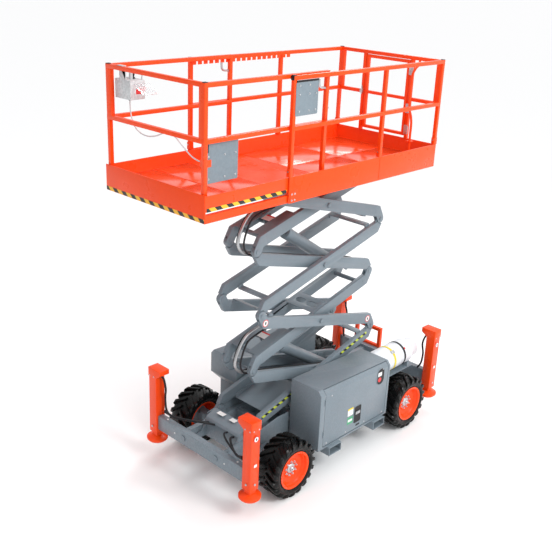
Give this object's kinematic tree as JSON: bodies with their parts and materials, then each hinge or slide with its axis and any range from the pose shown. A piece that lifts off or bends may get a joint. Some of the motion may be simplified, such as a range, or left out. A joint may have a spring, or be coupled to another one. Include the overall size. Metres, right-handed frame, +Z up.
{
  "type": "rough-terrain scissor lift",
  "caption": "Rough-terrain scissor lift with a stacked scissor frame, a railed platform with a roll-out deck, outriggers, steering wheels and side hoods.",
  "frame": {"origin": "centre of the bounding box at ground level", "axes": "+X towards the steering end that the roll-out deck points to, +Y to the machine's left, +Z up"},
  "size_m": [3.918, 1.74, 4.4503],
  "materials": {
    "grey_paint": "satin grey enamel",
    "orange_paint": "glossy orange enamel",
    "tyre_rubber": "black rubber",
    "rod_chrome": "polished hard chrome",
    "barrel_grey": "satin grey enamel",
    "engine_black": "matt black",
    "bottle_white": "glossy white enamel",
    "box_grey": "light grey enamel",
    "cable_white": "pale grey sheath"
  },
  "bodies": {
    "chassis": {"chassis_frame": "grey_paint", "front_fork_pocket": "grey_paint", "rear_fork_pocket": "grey_paint", "front_axle": "grey_paint", "rear_axle": "grey_paint", "front_left_outrigger": "orange_paint", "front_right_outrigger": "orange_paint", "rear_left_outrigger": "orange_paint", "rear_right_outrigger": "orange_paint", "left_hood": "grey_paint", "right_hood": "grey_paint", "engine_block": "engine_black", "gas_bottle": "bottle_white", "bottle_cradle": "grey_paint", "ladder": "orange_paint"},
    "left_steering_knuckle": {"left_knuckle": "grey_paint"},
    "right_steering_knuckle": {"right_knuckle": "grey_paint"},
    "front_left_wheel": {"front_left_tyre": "tyre_rubber", "front_left_rim": "orange_paint"},
    "front_right_wheel": {"front_right_tyre": "tyre_rubber", "front_right_rim": "orange_paint"},
    "rear_left_wheel": {"rear_left_tyre": "tyre_rubber", "rear_left_rim": "orange_paint"},
    "rear_right_wheel": {"rear_right_tyre": "tyre_rubber", "rear_right_rim": "orange_paint"},
    "front_left_foot_leg": {"front_left_foot": "orange_paint"},
    "front_right_foot_leg": {"front_right_foot": "orange_paint"},
    "rear_left_foot_leg": {"rear_left_foot": "orange_paint"},
    "rear_right_foot_leg": {"rear_right_foot": "orange_paint"},
    "left_door": {"left_hood_door": "grey_paint"},
    "right_door": {"right_hood_door": "grey_paint"},
    "outer_arm_1": {"outer_arm_1": "grey_paint"},
    "outer_arm_2": {"outer_arm_2": "grey_paint"},
    "outer_arm_3": {"outer_arm_3": "grey_paint"},
    "outer_arm_4": {"outer_arm_4": "grey_paint"},
    "inner_arm_1": {"inner_arm_1": "grey_paint"},
    "inner_arm_2": {"inner_arm_2": "grey_paint"},
    "inner_arm_3": {"inner_arm_3": "grey_paint"},
    "inner_arm_4": {"inner_arm_4": "grey_paint"},
    "lower_lift_barrel": {"lower_lift_barrel": "barrel_grey"},
    "lower_lift_rod": {"lower_lift_rod": "rod_chrome"},
    "upper_lift_barrel": {"upper_lift_barrel": "barrel_grey"},
    "upper_lift_rod": {"upper_lift_rod": "rod_chrome"},
    "platform": {"platform_deck": "orange_paint", "left_rail": "orange_paint", "right_rail": "orange_paint", "rear_rail": "orange_paint"},
    "gate_leaf": {"gate": "orange_paint"},
    "extension": {"extension_deck": "orange_paint", "extension_rail": "orange_paint", "control_box": "box_grey", "control_cable": "cable_white"}
  },
  "joints": [
    {"name": "outer_arm_1_hinge", "type": "hinge", "parent": "chassis", "child": "outer_arm_1", "pos_m": [0.82, 0, 0.61], "axis": [0, 1, 0], "range_deg": [-14.9, 44.1]},
    {"name": "outer_arm_2_hinge", "type": "hinge", "parent": "outer_arm_1", "child": "outer_arm_2", "pos_m": [-1.08571, 0, 1.28283], "axis": [0, 1, 0], "range_deg": [-88.3, 29.9]},
    {"name": "outer_arm_3_hinge", "type": "hinge", "parent": "outer_arm_2", "child": "outer_arm_3", "pos_m": [0.82, 0, 1.95567], "axis": [0, 1, 0], "range_deg": [-29.9, 88.3]},
    {"name": "outer_arm_4_hinge", "type": "hinge", "parent": "outer_arm_3", "child": "outer_arm_4", "pos_m": [-1.08571, 0, 2.6285], "axis": [0, 1, 0], "range_deg": [-88.3, 29.9]},
    {"name": "platform_hinge", "type": "hinge", "parent": "outer_arm_4", "child": "platform", "pos_m": [0.82, 0, 3.30134], "axis": [0, 1, 0], "range_deg": [-15, 44.2]},
    {"name": "inner_arm_1_hinge", "type": "hinge", "parent": "outer_arm_1", "child": "inner_arm_1", "pos_m": [-0.13286, 0, 0.94642], "axis": [0, 1, 0], "range_deg": [-88.3, 29.9]},
    {"name": "inner_arm_2_hinge", "type": "hinge", "parent": "outer_arm_2", "child": "inner_arm_2", "pos_m": [-0.13286, 0, 1.61925], "axis": [0, 1, 0], "range_deg": [-29.9, 88.3]},
    {"name": "inner_arm_3_hinge", "type": "hinge", "parent": "outer_arm_3", "child": "inner_arm_3", "pos_m": [-0.13286, 0, 2.29209], "axis": [0, 1, 0], "range_deg": [-88.3, 29.9]},
    {"name": "inner_arm_4_hinge", "type": "hinge", "parent": "outer_arm_4", "child": "inner_arm_4", "pos_m": [-0.13286, 0, 2.96492], "axis": [0, 1, 0], "range_deg": [-29.9, 88.3]},
    {"name": "lower_lift_barrel_hinge", "type": "hinge", "parent": "inner_arm_1", "child": "lower_lift_barrel", "pos_m": [-0.70431, 0, 0.73222], "axis": [0, 1, 0], "range_deg": [-6.1, 2.1]},
    {"name": "lower_lift_rod_slide", "type": "slide", "parent": "lower_lift_barrel", "child": "lower_lift_rod", "axis": [0.8419, 0, 0.5397], "range_m": [-0.1711, 0.5044]},
    {"name": "upper_lift_barrel_hinge", "type": "hinge", "parent": "inner_arm_3", "child": "upper_lift_barrel", "pos_m": [-0.70431, 0, 2.07788], "axis": [0, 1, 0], "range_deg": [-6.1, 2.1]},
    {"name": "upper_lift_rod_slide", "type": "slide", "parent": "upper_lift_barrel", "child": "upper_lift_rod", "axis": [0.8419, 0, 0.5397], "range_m": [-0.1711, 0.5044]},
    {"name": "left_steering", "type": "hinge", "parent": "chassis", "child": "left_steering_knuckle", "pos_m": [0.777, 0.6, 0.33], "axis": [0, 0, 1], "range_deg": [-30, 30]},
    {"name": "right_steering", "type": "hinge", "parent": "chassis", "child": "right_steering_knuckle", "pos_m": [0.777, -0.6, 0.33], "axis": [0, 0, 1], "range_deg": [-30, 30]},
    {"name": "front_left_wheel_spin", "type": "hinge", "parent": "left_steering_knuckle", "child": "front_left_wheel", "pos_m": [0.777, 0.71, 0.33], "axis": [0, 1, 0], "continuous": true},
    {"name": "front_right_wheel_spin", "type": "hinge", "parent": "right_steering_knuckle", "child": "front_right_wheel", "pos_m": [0.777, -0.71, 0.33], "axis": [0, 1, 0], "continuous": true},
    {"name": "rear_left_wheel_spin", "type": "hinge", "parent": "chassis", "child": "rear_left_wheel", "pos_m": [-1.303, 0.71, 0.33], "axis": [0, 1, 0], "continuous": true},
    {"name": "rear_right_wheel_spin", "type": "hinge", "parent": "chassis", "child": "rear_right_wheel", "pos_m": [-1.303, -0.71, 0.33], "axis": [0, 1, 0], "continuous": true},
    {"name": "front_left_foot_slide", "type": "slide", "parent": "chassis", "child": "front_left_foot_leg", "axis": [0, 0, -1], "range_m": [0, 0.4]},
    {"name": "front_right_foot_slide", "type": "slide", "parent": "chassis", "child": "front_right_foot_leg", "axis": [0, 0, -1], "range_m": [0, 0.4]},
    {"name": "rear_left_foot_slide", "type": "slide", "parent": "chassis", "child": "rear_left_foot_leg", "axis": [0, 0, -1], "range_m": [0, 0.4]},
    {"name": "rear_right_foot_slide", "type": "slide", "parent": "chassis", "child": "rear_right_foot_leg", "axis": [0, 0, -1], "range_m": [0, 0.4]},
    {"name": "left_hood_door_hinge", "type": "hinge", "parent": "chassis", "child": "left_door", "pos_m": [0.277, 0.8, 0.7], "axis": [0, 0, -1], "range_deg": [0, 100]},
    {"name": "right_hood_door_hinge", "type": "hinge", "parent": "chassis", "child": "right_door", "pos_m": [0.237, -0.8, 0.7], "axis": [0, 0, 1], "range_deg": [0, 100]},
    {"name": "extension_slide", "type": "slide", "parent": "platform", "child": "extension", "axis": [-1, 0, 0], "range_m": [0, 0.98]},
    {"name": "gate_hinge", "type": "hinge", "parent": "platform", "child": "gate_leaf", "pos_m": [-1.434, 0.275, 3.9], "axis": [0, 0, 1], "range_deg": [0, 90]}
  ],
  "couplings": [
    {"joint": "outer_arm_2_hinge", "follows": "outer_arm_1_hinge", "ratio": -2},
    {"joint": "outer_arm_3_hinge", "follows": "outer_arm_1_hinge", "ratio": 2},
    {"joint": "outer_arm_4_hinge", "follows": "outer_arm_1_hinge", "ratio": -2},
    {"joint": "platform_hinge", "follows": "outer_arm_1_hinge", "ratio": 1},
    {"joint": "inner_arm_1_hinge", "follows": "outer_arm_1_hinge", "ratio": -2},
    {"joint": "inner_arm_2_hinge", "follows": "outer_arm_1_hinge", "ratio": 2},
    {"joint": "inner_arm_3_hinge", "follows": "outer_arm_1_hinge", "ratio": -2},
    {"joint": "inner_arm_4_hinge", "follows": "outer_arm_1_hinge", "ratio": 2},
    {"joint": "lower_lift_barrel_hinge", "follows": "outer_arm_1_hinge", "ratio": -0.135},
    {"joint": "lower_lift_rod_slide", "follows": "outer_arm_1_hinge", "m_per_rad": 0.654},
    {"joint": "upper_lift_barrel_hinge", "follows": "outer_arm_1_hinge", "ratio": -0.135},
    {"joint": "upper_lift_rod_slide", "follows": "outer_arm_1_hinge", "m_per_rad": 0.654},
    {"joint": "right_steering", "follows": "left_steering", "ratio": 1}
  ]
}
